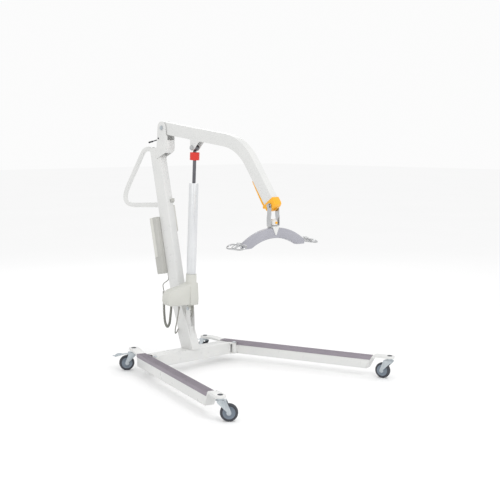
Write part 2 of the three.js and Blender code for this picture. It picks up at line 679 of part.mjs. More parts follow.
function buildLegs() {
  const lugGap = 1;
  const knuckle = [crossbeamZ[0] + 6 + lugGap, crossbeamZ[1] - 6 - lugGap];
  for (const [name, side] of [['left', 1], ['right', -1]]) {
    const group = legGroup(side);
    const outline = [[legStart, legBottom], [slantAt(legBottom), legBottom], [slantAt(legTop), legTop], [legStart, legTop]];
    const hollow = [
      [legStart + wall, legBottom + wall], [slantAt(legBottom) + 30, legBottom + wall],
      [slantAt(legTop) + 30, legTop - wall], [legStart + wall, legTop - wall],
    ];
    let leg = platXZ(outline, legAside - tubeHalf, legAside + tubeHalf);
    leg = cut(leg, platXZ(hollow, legAside - tubeHalf + wall, legAside + tubeHalf - wall));
    const post = join(
      upright(0, 0, ...knuckle, 13), block(-13, 13, 0, legAside - tubeHalf + 1, knuckle[0], legTop - 15),
    );
    leg = join(leg, cut(post, upright(0, 0, 0, 200, pivotPinRadius + gap)));
    const profile = [
      [rearStem - 30, stemTop - armThickness], [rearStem + 55, stemTop - armThickness - 1],
      [rearStem + 83, 101], [rearStem + 99, 99.5], [legStart + 1, 88], [legStart + 1, legTop],
      [rearStem + 95, 110], [rearStem + 62, 116], [rearStem + 25, stemTop], [rearStem - 30, stemTop],
    ];
    const arm = platXZ(profile, legAside - 30, legAside + 30)
      .intersect(platXY(armPlan(rearStem, legStart + 2), 50, 150));
    leg = join(leg, arm);
    leg = cut(leg, upright(rearStem, legAside, 90, stemTop - 3, 6 + gap));
    add(`leg_${name}`, 'white', leg, group);

    const padHalf = legWidth / 2;
    const pad = cut(
      platXZ([
        [legStart, legTop - 14], [slantAt(legTop - 14), legTop - 14],
        [slantAt(legTop + gap + padThickness), legTop + gap + padThickness], [legStart, legTop + gap + padThickness],
      ], legAside - padHalf, legAside + padHalf),
      block(-500, 1200, legAside - tubeHalf - gap, legAside + tubeHalf + gap, 0, legTop + gap),
    );
    add(`leg_pad_${name}`, 'pad', pad, group);

    const faceAt = (z, offset) => slantAt(z) + offset;
    const bracketProfile = [
      [faceAt(legBottom, gap * 1.5), legBottom], [faceAt(legBottom, 8), legBottom], [faceAt(98, 8), 98],
      [faceAt(98, 8) + 10, stemTop - armThickness], [frontStem + 30, stemTop - armThickness],
      [frontStem + 30, stemTop], [faceAt(stemTop, 4), stemTop], [faceAt(110, gap * 1.5), 110],
    ];
    const bracket = platXZ(bracketProfile, legAside - 30, legAside + 30)
      .intersect(platXY(armPlan(frontStem, legEnd - 10), 20, 150));
    const stemHole = upright(frontStem, legAside, 90, stemTop - 3, 6 + gap);
    add(`leg_front_bracket_${name}`, 'white', cut(bracket, stemHole), group);

    add(`leg_pivot_pin_${name}`, 'steel', join(
      upright(pivotX, side * pivotY, crossbeamZ[0] - 2, crossbeamZ[1] + 1, pivotPinRadius),
      upright(pivotX, side * pivotY, crossbeamZ[1] + gap, crossbeamZ[1] + 4, 10, 20),
    ));
  }
}

function buildCrossbeam() {
  const [x0, x1] = crossbeamX;
  const [z0, z1] = crossbeamZ;
  let beam = block(x0, x1, -crossbeamHalf, crossbeamHalf, z0, z1);
  beam = cut(beam, block(x0 + wall, x1 - wall, -crossbeamHalf - 5, crossbeamHalf + 5, z0 + wall, z1 - wall));
  for (const side of [-1, 1]) {
    const py = side * pivotY;
    for (const [a, b] of [[z0, z0 + 6], [z1 - 6, z1]]) {
      const lug = join(
        upright(pivotX, py, a, b, 13.5, 24),
        platXY(side > 0
          ? [[x0 + 34, crossbeamHalf - 8], [pivotX, crossbeamHalf - 8], [pivotX + 13, py], [pivotX - 9, py + 9]]
          : [[pivotX - 9, py - 9], [pivotX + 13, py], [pivotX, 8 - crossbeamHalf], [x0 + 34, 8 - crossbeamHalf]], a, b),
      );
      beam = join(beam, cut(lug, upright(pivotX, py, 0, 200, pivotPinRadius + gap)));
    }
  }
  const slot = platXY(roundedRect(164, 190, -250, -242, 3.9), z1 - 10, z1 + 5);
  add('crossbeam', 'white', cut(beam, slot));
}

const casters = [
  ['rear_right', 0, -1, -120],
  ['rear_left', 0, 1, 165],
  ['front_right', 1, -1, 46],
  ['front_left', 1, 1, -165],
];

function buildCasters() {
  const sheet = 2.5;
  const cheek = wheelWidth / 2 + 3.5;
  const top = 96;
  const forkSide = [
    [-14, top], [-14, top - 10], [casterTrail - 11, 46], ...arc(casterTrail, wheelRadius, 11, 150, 380, 9), [27, top],
  ];
  let fork = join(
    platXZ(forkSide, -cheek - sheet, -cheek), platXZ(forkSide, cheek, cheek + sheet),
    platXY([...arc(0, 0, 22, 125, 235, 8), [27, -cheek - sheet], [27, cheek + sheet]], top - 3, top),
    upright(0, 0, top - 1, stemTop - armThickness - 1.4, 15, 20), upright(0, 0, top - 1, stemTop - 4, 6, 16),
    across(casterTrail, wheelRadius, -cheek - sheet - 3, cheek + sheet + 3, 4, 16),
    across(casterTrail, wheelRadius, -cheek - sheet - 3, -cheek, 6.5, 6),
    across(casterTrail, wheelRadius, cheek, cheek + sheet + 3, 6.5, 6),
  );
  const half = wheelWidth / 2;
  const hub = turned([
    [4.4, -half - 2], [9, -half - 2], [10, -half + 3], [24, -half + 3], [26, -half + 1], [28.5, -half + 1],
    [28.5, half - 1], [26, half - 1], [24, half - 3], [10, half - 3], [9, half + 2], [4.4, half + 2], [4.4, -half - 2],
  ]);
  const tyre = turned([
    [28.5 + gap, -half + 1], [34, -half], [38, -half + 2.5], [wheelRadius, -half + 7], [wheelRadius, half - 7],
    [38, half - 2.5], [34, half], [28.5 + gap, half - 1], [28.5 + gap, -half + 1],
  ], 32);
  const pedal = join(
    platXZ([[22, 87], [54, 86], [66, 84], [101, 76], [102, 78.5], [66, 87], [54, 89], [22, 90]], -12.5, 12.5),
    platXZ([[60, 85.5], [101, 76], [102, 79], [86, 90], [60, 88.5]], 12.5, 15),
    platXZ([[60, 85.5], [101, 76], [102, 79], [86, 90], [60, 88.5]], -15, -12.5),
    rod([96, 0, 79], [112, 0, 82], 2.5, 10),
    across(28, 88.2, -cheek + gap, cheek - gap, 3, 12),
  );
  for (const [name, front, side, heading] of casters) {
    const stem = onLegPoint(front ? frontStem : rearStem, side);
    const caster = groupAt(lift, stem.x, stem.y, 0);
    caster.rotation.z = heading * rad;
    const axle = groupAt(caster, casterTrail, 0, wheelRadius);
    axle.rotation.x = Math.PI / 2;
    add(`caster_fork_${name}`, 'zinc', fork, caster);
    add(`caster_hub_${name}`, 'hub', hub, axle);
    add(`caster_tyre_${name}`, 'tyre', tyre, axle);
    if (!front) {
      add(`brake_pedal_${name}`, 'zinc', pedal, caster);
    }
  }
}

function onLegPoint(u, side) {
  return vec(
    pivotX + u * Math.cos(spread) - legAside * Math.sin(spread),
    side * (pivotY + u * Math.sin(spread) + legAside * Math.cos(spread)), 0,
  );
}

// ---------- cords ----------
function buildCords() {
  const box = rearFace(boxZ) - boxDepth / 2;
  add('handset_lead_lower', 'cable', cord([
    [box + 7, 0, boxZ - 9], [box + 8, 0, boxZ - 40], [-60, 0, 425], [-54, 0, 391],
  ], 2.5, 12));
  add('handset_curly_cord', 'cable', cord([
    [-54, 0, 390], [-55, 0, 330], [-52, 0, 262], [-43, 0, 214], [-26, 0, 196], [-9, 0, 214], [2, 0, 262], [10, 0, 314],
  ], 7, 30, 10));
  const handsetFoot = handsetTop - handsetLength * Math.cos(mastLean);
  const footX = frontFace(handsetTop) - handsetBack + handsetLength * Math.sin(mastLean);
  const y = (handsetY[0] + handsetY[1]) / 2;
  add('handset_lead_upper', 'cable', cord([
    [10.2, 0, 315], [14, 6, 345], [26, 30, 410], [30, y, 500], [footX + 18, y, 600], [footX + 5, y, handsetFoot - 24],
    [footX - 2.2, y, handsetFoot + 10],
  ], 2.5, 30));
  add('lift_motor_cable', 'cable', cord([
    [190, 0, 341], [190, 0, 320], [183, 0, 292], [164, 0, 268],
  ], 3.5, 10));
  const beside = -mastWidth / 2 - 8;   // clear of the foot sleeve
  add('leg_motor_cable', 'cable', cord([
    [174, -80, 340], [172, -80, 326], [153, -77, 264], [126, -68, 210], [112, beside - 25, 186],
    [106, beside - 11, 190], [107, beside, 208],
  ], 3, 24));
}

buildCrossbeam();
buildMastFoot();
buildMast();
buildHead();
buildLockLever();
buildHandle();
buildControls();
buildHandset();
buildBoom();
buildBoomEnd();
buildActuator();
buildHanger();
buildSpreader();
buildLegs();
buildCasters();
buildCords();

// origin: middle of the footprint, on the floor
const bounds = new THREE.Box3().setFromObject(lift, true);
lift.position.set(-(bounds.min.x + bounds.max.x) / 2, 0, -bounds.min.z);

export default part;
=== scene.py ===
# Looks of a mobile patient lift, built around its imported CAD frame.
import json
import math
import bmesh
import bpy
from mathutils import Matrix, Vector

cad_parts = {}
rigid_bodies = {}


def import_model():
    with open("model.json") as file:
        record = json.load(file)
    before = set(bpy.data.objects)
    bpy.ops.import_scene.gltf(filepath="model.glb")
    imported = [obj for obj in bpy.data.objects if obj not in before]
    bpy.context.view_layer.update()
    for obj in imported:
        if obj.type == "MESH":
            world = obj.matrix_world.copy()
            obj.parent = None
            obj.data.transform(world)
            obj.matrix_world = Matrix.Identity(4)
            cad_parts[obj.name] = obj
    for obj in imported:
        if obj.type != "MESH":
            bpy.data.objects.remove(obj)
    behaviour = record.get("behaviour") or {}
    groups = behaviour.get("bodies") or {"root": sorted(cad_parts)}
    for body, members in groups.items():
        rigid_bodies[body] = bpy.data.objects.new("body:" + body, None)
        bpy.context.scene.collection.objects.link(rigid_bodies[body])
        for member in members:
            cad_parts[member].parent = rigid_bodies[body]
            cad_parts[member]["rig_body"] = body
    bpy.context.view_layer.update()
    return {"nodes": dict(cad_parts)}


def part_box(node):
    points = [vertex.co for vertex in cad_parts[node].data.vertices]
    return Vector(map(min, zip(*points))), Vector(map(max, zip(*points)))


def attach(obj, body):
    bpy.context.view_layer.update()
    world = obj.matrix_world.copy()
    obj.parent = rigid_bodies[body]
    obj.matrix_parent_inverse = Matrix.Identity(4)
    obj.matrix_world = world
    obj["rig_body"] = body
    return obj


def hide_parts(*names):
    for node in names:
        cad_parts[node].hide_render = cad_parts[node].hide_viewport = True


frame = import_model()
nodes = frame["nodes"]
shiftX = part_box("crossbeam")[0].x - 0.125    # X of the rear caster stems
mm = 0.001
print("frame loaded, rear stems at", round(shiftX, 4))


def at(x, y, z):    # millimetres from the rear stems
    return Vector((x * mm + shiftX, y * mm, z * mm))


# ---- camera ----
cameraSettings = {"place": (4322.8, -3476.9, 1231.3), "azimuth": 0.815, "down": 0.110, "lens": 74.0}


def makeCamera(s):
    data = bpy.data.cameras.new("camera")
    data.lens, data.sensor_width = s["lens"], 36
    camera = bpy.data.objects.new("camera", data)
    bpy.context.scene.collection.objects.link(camera)
    a, e = s["azimuth"], s["down"]
    back = Vector((math.sin(a) * math.cos(e), -math.cos(a) * math.cos(e), math.sin(e)))
    camera.location = at(*s["place"])
    camera.rotation_mode = "QUATERNION"
    camera.rotation_quaternion = (-back).to_track_quat("-Z", "Y")
    data.clip_start, data.clip_end = 0.05, 60
    bpy.context.scene.camera = camera


makeCamera(cameraSettings)


# ---- wiring of materials ----
def linear(rgb):
    out = [(c / 255 / 12.92 if c / 255 <= 0.04045 else ((c / 255 + 0.055) / 1.055) ** 2.4) for c in rgb]
    return (*out, 1.0)


class Wire:    # one socket, with arithmetic
    def __init__(self, finish, socket):
        self.finish, self.socket = finish, socket

    def maths(self, operation, a, b):
        return self.finish.node("ShaderNodeMath", {"operation": operation}, {0: a, 1: b})

    def __add__(self, other):
        return self.maths("ADD", self, other)

    def __sub__(self, other):
        return self.maths("SUBTRACT", self, other)

    def __rsub__(self, other):
        return self.maths("SUBTRACT", other, self)

    def __mul__(self, other):
        return self.maths("MULTIPLY", self, other)

    def __gt__(self, other):
        return self.maths("GREATER_THAN", self, other)

    __radd__ = __add__
    __rmul__ = __mul__


class Finish:    # a material being wired
    def __init__(self, name, **constants):
        self.material = bpy.data.materials.new(name)
        self.material.use_nodes = True
        self.tree = self.material.node_tree
        self.shader = next(n for n in self.tree.nodes if n.type == "BSDF_PRINCIPLED")
        for key, value in constants.items():
            self.shader.inputs[key.replace("_", " ")].default_value = value

    def node(self, kind, settings=None, sockets=None, output=0):
        made = self.tree.nodes.new(kind)
        for key, value in (settings or {}).items():
            if key == "stops":
                ramp = made.color_ramp.elements
                while len(ramp) < len(value):
                    ramp.new(0.5)
                for element, (place, colour) in zip(ramp, value):
                    element.position, element.color = place, colour
            else:
                setattr(made, key, value)
        for key, value in (sockets or {}).items():
            self.feed(made.inputs[key], value)
        return Wire(self, made.outputs[output])

    def feed(self, socket, value):
        if isinstance(value, Wire):
            self.tree.links.new(value.socket, socket)
        else:
            socket.default_value = value

    def place(self):
        return self.node("ShaderNodeTexCoord", output="Object")

    def stretched(self, scale, turn=(0, 0, 0)):
        return self.node("ShaderNodeMapping", {},
            {"Vector": self.place(), "Scale": scale, "Rotation": turn})

    def noise(self, scale, detail=3.0, vector=None):
        return self.node("ShaderNodeTexNoise", {}, {
            "Vector": vector or self.place(), "Scale": scale, "Detail": detail, "Roughness": 0.55})

    def between(self, factor, a, b):    # colours a to b
        return self.node("ShaderNodeMix", {"data_type": "RGBA"}, {0: factor, 6: a, 7: b}, output=2)

    def spread(self, factor, low, high):    # factor's middle range stretched over low to high
        return self.node("ShaderNodeMapRange", {}, {
            "Value": factor, "From Min": 0.3, "From Max": 0.7, "To Min": low, "To Max": high})

    def bump(self, height, distance, strength=1.0):
        return self.node("ShaderNodeBump", {},
            {"Height": height, "Distance": distance, "Strength": strength})

    def finished(self, **links):
        for key, value in links.items():
            self.feed(self.shader.inputs[key.replace("_", " ")], value)
        return self.material


def moulded(name, s):    # plastics and paint: slow shifts of colour, fine grain
    finish = Finish(name, IOR=1.48)
    slow = finish.spread(finish.noise(s.get("cloud", 9.0)), 0.0, 1.0)
    grain = finish.noise(s["grain"], 2.0)
    speck = finish.spread(finish.noise(s["grain"] * 0.45, 4.0), 0.0, 1.0)
    low, high = linear(s["dark"]), linear(s["light"])
    colour = finish.between(slow * 0.6 + speck * 0.4, low, high)
    rough = finish.spread(finish.noise(34.0), s["rough"][0], s["rough"][1])
    return finish.finished(Base_Color=colour, Roughness=rough, Normal=finish.bump(grain, s["relief"]))


def metal(name, s):    # bare or plated metal: streaks one way, cloudy roughness
    finish = Finish(name, Metallic=s.get("metallic", 1.0))
    streak = finish.noise(s["streak"], 3.0, finish.stretched(s["along"]))
    cloud = finish.spread(finish.noise(22.0), 0.0, 1.0)
    colour = finish.between(cloud * 0.5 + finish.spread(streak, 0.0, 0.5), linear(s["dark"]),
        linear(s["light"]))
    rough = finish.spread(streak, s["rough"][0], s["rough"][1])
    return finish.finished(Base_Color=colour, Roughness=rough, Normal=finish.bump(streak, s["relief"]))


framePaint = moulded("framePaint", {
    "dark": (214, 215, 214), "light": (223, 223, 221), "grain": 700.0, "rough": (0.26, 0.38),
    "relief": 0.00003})
coverGrey = moulded("coverGrey", {
    "dark": (206, 206, 200), "light": (217, 217, 211), "grain": 1500.0, "rough": (0.42, 0.55),
    "relief": 0.00006})
motorGrey = moulded("motorGrey", {
    "dark": (196, 197, 190), "light": (208, 208, 202), "grain": 1500.0, "rough": (0.42, 0.55),
    "relief": 0.00006})
controllerGrey = moulded("controllerGrey", {
    "dark": (178, 178, 173), "light": (190, 190, 185), "grain": 1500.0, "rough": (0.42, 0.56),
    "relief": 0.00006})
padMauve = moulded("padMauve", {
    "dark": (138, 131, 140), "light": (152, 145, 153), "grain": 900.0, "rough": (0.55, 0.7),
    "relief": 0.0001})
darkPlastic = moulded("darkPlastic", {
    "dark": (44, 46, 52), "light": (58, 61, 68), "grain": 1300.0, "rough": (0.38, 0.52),
    "relief": 0.00005})
tyreRubber = moulded("tyreRubber", {
    "dark": (58, 60, 66), "light": (74, 76, 82), "grain": 1100.0, "rough": (0.62, 0.8),
    "relief": 0.00012})
hubBlue = moulded("hubBlue", {
    "dark": (112, 122, 134), "light": (130, 140, 151), "grain": 1200.0, "rough": (0.4, 0.55),
    "relief": 0.00005})
signalYellow = moulded("signalYellow", {
    "dark": (240, 168, 20), "light": (250, 184, 38), "grain": 1100.0, "rough": (0.3, 0.42),
    "relief": 0.00004})
signalRed = moulded("signalRed", {
    "dark": (206, 44, 34), "light": (222, 58, 46), "grain": 1100.0, "rough": (0.3, 0.42),
    "relief": 0.00004})
spreaderGrey = moulded("spreaderGrey", {
    "dark": (156, 156, 164), "light": (172, 172, 179), "grain": 900.0, "rough": (0.36, 0.5),
    "relief": 0.00008})
cableTaupe = moulded("cableTaupe", {
    "dark": (132, 132, 126), "light": (148, 148, 141), "grain": 1400.0, "rough": (0.45, 0.6),
    "relief": 0.00005})
zincPlate = metal("zincPlate", {
    "dark": (170, 178, 184), "light": (205, 211, 214), "streak": 130.0, "along": (1, 1, 0.2),
    "rough": (0.26, 0.42),
    "relief": 0.00002})
polishedSteel = metal("polishedSteel", {
    "dark": (178, 179, 180), "light": (205, 206, 207), "streak": 260.0, "along": (1, 1, 0.15),
    "rough": (0.14, 0.26),
    "relief": 0.00001})
darkRod = metal("darkRod", {
    "dark": (92, 92, 96), "light": (124, 124, 128), "streak": 420.0, "along": (1, 1, 6.0),
    "rough": (0.24, 0.36),
    "relief": 0.00003})
satinAluminium = metal("satinAluminium", {
    "dark": (214, 216, 218), "light": (228, 229, 230), "streak": 900.0, "along": (1, 1, 0.03),
    "rough": (0.3, 0.42),
    "relief": 0.00001, "metallic": 0.75})
print("finishes wired")


# ---- meshes ----
def smoothed(mesh, angle=34):
    mesh.shade_smooth()
    mesh.set_sharp_from_angle(angle=math.radians(angle))


def placed(name, mesh, material, body, stands=()):
    mesh.materials.clear()
    mesh.materials.append(material)
    piece = bpy.data.objects.new(name, mesh)
    bpy.context.scene.collection.objects.link(piece)
    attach(piece, body)
    if stands:
        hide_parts(*stands)
    return piece


def bodyOf(node):
    return nodes[node]["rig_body"]


def softenedMesh(node, width, segments, angle=33, merge=0.00004):
    bm = bmesh.new()
    bm.from_mesh(nodes[node].data)
    bmesh.ops.remove_doubles(bm, verts=bm.verts, dist=merge)
    bmesh.ops.dissolve_degenerate(bm, edges=bm.edges, dist=merge)
    bmesh.ops.dissolve_limit(bm, angle_limit=math.radians(1.0), verts=bm.verts, edges=bm.edges)
    if width:
        sharp = [e for e in bm.edges
                 if len(e.link_faces) == 2 and e.calc_face_angle(0) > math.radians(angle)]
        bmesh.ops.bevel(bm, geom=sharp, offset=width * mm, segments=segments, profile=0.5,
            affect="EDGES",
                        clamp_overlap=True)
    bmesh.ops.triangulate(bm, faces=[f for f in bm.faces if len(f.verts) > 4])
    mesh = bpy.data.meshes.new(node)
    bm.to_mesh(mesh)
    bm.free()
    smoothed(mesh)
    return mesh


def ring(frameAt, count, radius):    # points round a path at one place
    centre, side, upward = frameAt
    turns = [2 * math.pi * i / count for i in range(count)]
    return [centre + side * (radius * math.cos(a)) + upward * (radius * math.sin(a)) for a in turns]


def framesAlong(points):    # centre and two cross directions, without twist
    out, side = [], None
    for i, p in enumerate(points):
        ahead = (points[min(i + 1, len(points) - 1)] - points[max(i - 1, 0)]).normalized()
        if side is None:
            side = ahead.orthogonal().normalized()
        side = (side - ahead * side.dot(ahead)).normalized()
        out.append((p, side, ahead.cross(side)))
    return out


def loft(rings, closed=False):    # skin through rings, ends capped or joined
    bm = bmesh.new()
    rows = [[bm.verts.new(p) for p in r] for r in rings]
    pairs = list(zip(rows, rows[1:])) + ([(rows[-1], rows[0])] if closed else [])
    for a, b in pairs:
        for i in range(len(a)):
            j = (i + 1) % len(a)
            bm.faces.new((a[i], a[j], b[j], b[i]))
    if not closed:
        bm.faces.new(list(reversed(rows[0])))
        bm.faces.new(rows[-1])
    bmesh.ops.recalc_face_normals(bm, faces=bm.faces)
    mesh = bpy.data.meshes.new("loft")
    bm.to_mesh(mesh)
    bm.free()
    smoothed(mesh, 40)
    return mesh


def tubeMesh(points, radius, sides=20, radii=None):
    frames = framesAlong(points)
    return loft([ring(f, sides, radii[i] if radii else radius) for i, f in enumerate(frames)])


def joined(meshes):
    bm = bmesh.new()
    for mesh in meshes:
        bm.from_mesh(mesh)
    out = bpy.data.meshes.new("joined")
    bm.to_mesh(out)
    bm.free()
    smoothed(out, 36)
    return out


def roundedPath(points, radius, steps=14):    # straight runs with rounded corners
    out = [points[0]]
    for before, corner, after in zip(points, points[1:], points[2:]):
        a, b = (before - corner).normalized(), (after - corner).normalized()
        reach = radius / math.tan(a.angle(b) / 2)
        start, end = corner + a * reach, corner + b * reach
        for i in range(steps + 1):
            t = i / steps
            out.append(start * (1 - t) ** 2 + corner * 2 * t * (1 - t) + end * t ** 2)
    return out + [points[-1]]


def throughPoints(points, count):    # the CAD's own curve: centripetal Catmull-Rom
    control = [points[0] * 2 - points[1], *points, points[-1] * 2 - points[-2]]
    out = []
    for i in range(count + 1):
        whole = (len(points) - 1) * i / count
        k = min(int(whole), len(points) - 2)
        w = whole - k
        p = control[k:k + 4]
        d = [max((p[j + 1] - p[j]).length_squared ** 0.25, 1e-6) for j in range(3)]
        m1 = ((p[1] - p[0]) / d[0] - (p[2] - p[0]) / (d[0] + d[1]) + (p[2] - p[1]) / d[1]) * d[1]
        m2 = ((p[2] - p[1]) / d[1] - (p[3] - p[1]) / (d[1] + d[2]) + (p[3] - p[2]) / d[2]) * d[1]
        a = p[1] * 2 - p[2] * 2 + m1 + m2
        b = p[2] * 3 - p[1] * 3 - m1 * 2 - m2
        out.append(a * w ** 3 + b * w ** 2 + m1 * w + p[1])
    return out


# ---- geometry node trees ----
class Tree:
    def __init__(self, name, inputs):
        self.group = bpy.data.node_groups.new(name, "GeometryNodeTree")
        side = self.group.interface
        side.new_socket("Geometry", in_out="INPUT", socket_type="NodeSocketGeometry")
        side.new_socket("Geometry", in_out="OUTPUT", socket_type="NodeSocketGeometry")
        self.ids = {}
        for label, kind in inputs.items():
            self.ids[label] = side.new_socket(label, in_out="INPUT",
                socket_type="NodeSocket" + kind).identifier
        self.start = self.group.nodes.new("NodeGroupInput")
        self.end = self.group.nodes.new("NodeGroupOutput")

    def given(self, label):
        return self.start.outputs[label]

    def node(self, kind, settings=None, sockets=None, output=0):
        made = self.group.nodes.new(kind)
        for key, value in (settings or {}).items():
            setattr(made, key, value)
        for key, value in (sockets or {}).items():
            if isinstance(value, bpy.types.NodeSocket):
                self.group.links.new(value, made.inputs[key])
            else:
                made.inputs[key].default_value = value
        return made.outputs[output]

    def close(self, geometry):
        real = self.node("GeometryNodeRealizeInstances", {}, {"Geometry": geometry})
        coated = self.node("GeometryNodeSetMaterial", {},
            {"Geometry": real, "Material": self.given("Material")})
        self.group.links.new(coated, self.end.inputs[0])

    def run(self, mesh, values, angle=36):    # plain mesh from the tree
        host = bpy.data.objects.new("host", mesh)
        bpy.context.scene.collection.objects.link(host)
        modifier = host.modifiers.new("tree", "NODES")
        modifier.node_group = self.group
        for label, value in values.items():
            modifier[self.ids[label]] = value
        host.update_tag()
        made = bpy.data.meshes.new_from_object(
            host.evaluated_get(bpy.context.evaluated_depsgraph_get()))
        host.modifiers.clear()
        bpy.data.objects.remove(host)
        smoothed(made, angle)
        return made


def scatterTree():    # a small piece at every point, its Z along the point's normal
    tree = Tree("scatter", {"Piece": "Object", "Size": "Float", "Material": "Material"})
    piece = tree.node("GeometryNodeObjectInfo", {}, {"Object": tree.given("Piece")}, "Geometry")
    facing = tree.node("GeometryNodeInputNamedAttribute", {"data_type": "FLOAT_VECTOR"},
        {"Name": "facing"})
    turn = tree.node("FunctionNodeAlignRotationToVector", {"axis": "Z"}, {"Vector": facing})
    points = tree.node("GeometryNodeInstanceOnPoints", {}, {
        "Points": tree.given("Geometry"), "Instance": piece, "Rotation": turn,
        "Scale": tree.given("Size")})
    tree.close(points)
    return tree


def ribTree():    # copies of a rib side by side
    tree = Tree("ribs", {"Rib": "Object", "Count": "Int", "Step": "Vector", "Start": "Vector",
        "Material": "Material"})
    rib = tree.node("GeometryNodeObjectInfo", {}, {"Object": tree.given("Rib")}, "Geometry")
    line = tree.node("GeometryNodeMeshLine", {}, {
        "Count": tree.given("Count"), "Start Location": tree.given("Start"),
        "Offset": tree.given("Step")})
    ribs = tree.node("GeometryNodeInstanceOnPoints", {}, {"Points": line, "Instance": rib})
    both = tree.group.nodes.new("GeometryNodeJoinGeometry")
    tree.group.links.new(ribs, both.inputs[0])
    tree.group.links.new(tree.given("Geometry"), both.inputs[0])
    tree.close(both.outputs[0])
    return tree


def coilTree():    # a wire wound round a route
    tree = Tree("coil", {
        "Pitch": "Float", "Winding Radius": "Float", "Wire Radius": "Float", "Steps": "Int",
        "Sides": "Int",
        "Material": "Material"})
    curve = tree.node("GeometryNodeMeshToCurve", {}, {"Mesh": tree.given("Geometry")})
    fine = tree.node("GeometryNodeResampleCurve", {}, {"Curve": curve, "Count": tree.given("Steps")})
    gone = tree.node("GeometryNodeSplineParameter", {}, {}, "Length")
    turns = tree.node("ShaderNodeMath", {"operation": "DIVIDE"}, {0: gone, 1: tree.given("Pitch")})
    angle = tree.node("ShaderNodeMath", {"operation": "MULTIPLY"}, {0: turns, 1: 2 * math.pi})
    tangent = tree.node("GeometryNodeInputTangent")
    normal = tree.node("GeometryNodeInputNormal")
    turned = tree.node("ShaderNodeVectorRotate", {},
        {"Vector": normal, "Axis": tangent, "Angle": angle})
    offset = tree.node("ShaderNodeVectorMath", {"operation": "SCALE"},
        {0: turned, "Scale": tree.given("Winding Radius")})
    wound = tree.node("GeometryNodeSetPosition", {}, {"Geometry": fine, "Offset": offset})
    profile = tree.node("GeometryNodeCurvePrimitiveCircle", {}, {
        "Resolution": tree.given("Sides"), "Radius": tree.given("Wire Radius")})
    wire = tree.node("GeometryNodeCurveToMesh", {},
        {"Curve": wound, "Profile Curve": profile, "Fill Caps": True})
    tree.close(wire)
    return tree


scatter, ribs, coil = scatterTree(), ribTree(), coilTree()


def hiddenObject(mesh):    # only a source for instances
    source = bpy.data.objects.new("source", mesh)
    return source


def latheMesh(profile, sides=28):    # turned about Z, profile in millimetres from the axis up
    rings = [[Vector((r * mm * math.cos(a), r * mm * math.sin(a), z * mm))
              for a in [2 * math.pi * i / sides for i in range(sides)]] for r, z in profile]
    return loft(rings)


def scattered(name, source, spots, material, body):    # spots: place, facing
    mesh = bpy.data.meshes.new(name)
    mesh.from_pydata([p for p, _ in spots], [], [])
    facing = mesh.attributes.new("facing", "FLOAT_VECTOR", "POINT")
    for i, (_, n) in enumerate(spots):
        facing.data[i].vector = n
    holder = hiddenObject(source)
    made = scatter.run(mesh, {"Piece": holder, "Size": 1.0, "Material": material})
    bpy.data.objects.remove(holder)
    return placed(name, made, material, body)


# ---- cords: each leads from one housing to another ----
leadSettings = {
    "handset_lead_lower": {"points": [(-13.8, 0, 491), (-12.8, 0, 460), (-60, 0, 425), (-54, 0, 391)],
    "radius": 2.5},
    "handset_lead_upper": {"points": [
        (10.2, 0, 315), (14, 6, 345), (26, 30, 410), (30, 38, 500), (16.31, 38, 600),
        (3.31, 38, 691.56),
        (-3.89, 38, 725.56)], "radius": 2.5},
    "lift_motor_cable": {"points": [(190, 0, 341), (190, 0, 320), (183, 0, 292), (164, 0, 268)],
    "radius": 3.5},
    "leg_motor_cable": {"points": [
        (174, -80, 340), (172, -80, 326), (153, -77, 264), (126, -68, 210), (112, -56, 186),
        (106, -42, 190),
        (107, -31, 208)], "radius": 3.0},
}
coilSettings = {
    "points": [(-54, 0, 390), (-55, 0, 330), (-52, 0, 262), (-43, 0, 214), (-26, 0, 196), (-9, 0, 214),
    (2, 0, 262),
               (10, 0, 314)],
    "radius": 7.0, "wire": 1.75, "pitch": 3.9}


def pathLength(points):
    return sum((b - a).length for a, b in zip(points, points[1:]))


def sleeve(name, path, reach, thick, thin):    # tapered relief over the start of a path
    kept, gone = [path[0]], 0.0
    for a, b in zip(path, path[1:]):
        gone += (b - a).length
        if gone > reach * mm:
            break
        kept.append(b)
    radii = [(thick + (thin - thick) * i / (len(kept) - 1) + (0.35 if i % 3 == 1 else 0)) * mm
             for i in range(len(kept))]
    return placed(name, tubeMesh(kept, 0, 18, radii), cableTaupe, "chassis")


def makeLeads():
    for name, s in leadSettings.items():
        path = throughPoints([at(*p) for p in s["points"]], 90)
        piece = placed(name + "_run", tubeMesh(path, s["radius"] * mm, 14), cableTaupe, "chassis",
            [name])
        ends = [sleeve(name + "_relief", path, 24, s["radius"] * 1.7, s["radius"] * 1.12)]
        pathLength(path)


def makeCoil(s):
    path = throughPoints([at(*p) for p in s["points"]], 120)
    line = bpy.data.meshes.new("route")
    line.from_pydata(path, [(i, i + 1) for i in range(len(path) - 1)], [])
    length = pathLength(path)
    turns = length / (s["pitch"] * mm)
    wire = coil.run(line, {
        "Pitch": s["pitch"] * mm, "Winding Radius": (s["radius"] - s["wire"]) * mm,
        "Wire Radius": s["wire"] * mm,
        "Steps": int(turns * 14), "Sides": 8, "Material": cableTaupe}, 60)
    piece = placed("handset_coil", wire, cableTaupe, "chassis", ["handset_curly_cord"])


makeLeads()
makeCoil(coilSettings)
print("cords made")


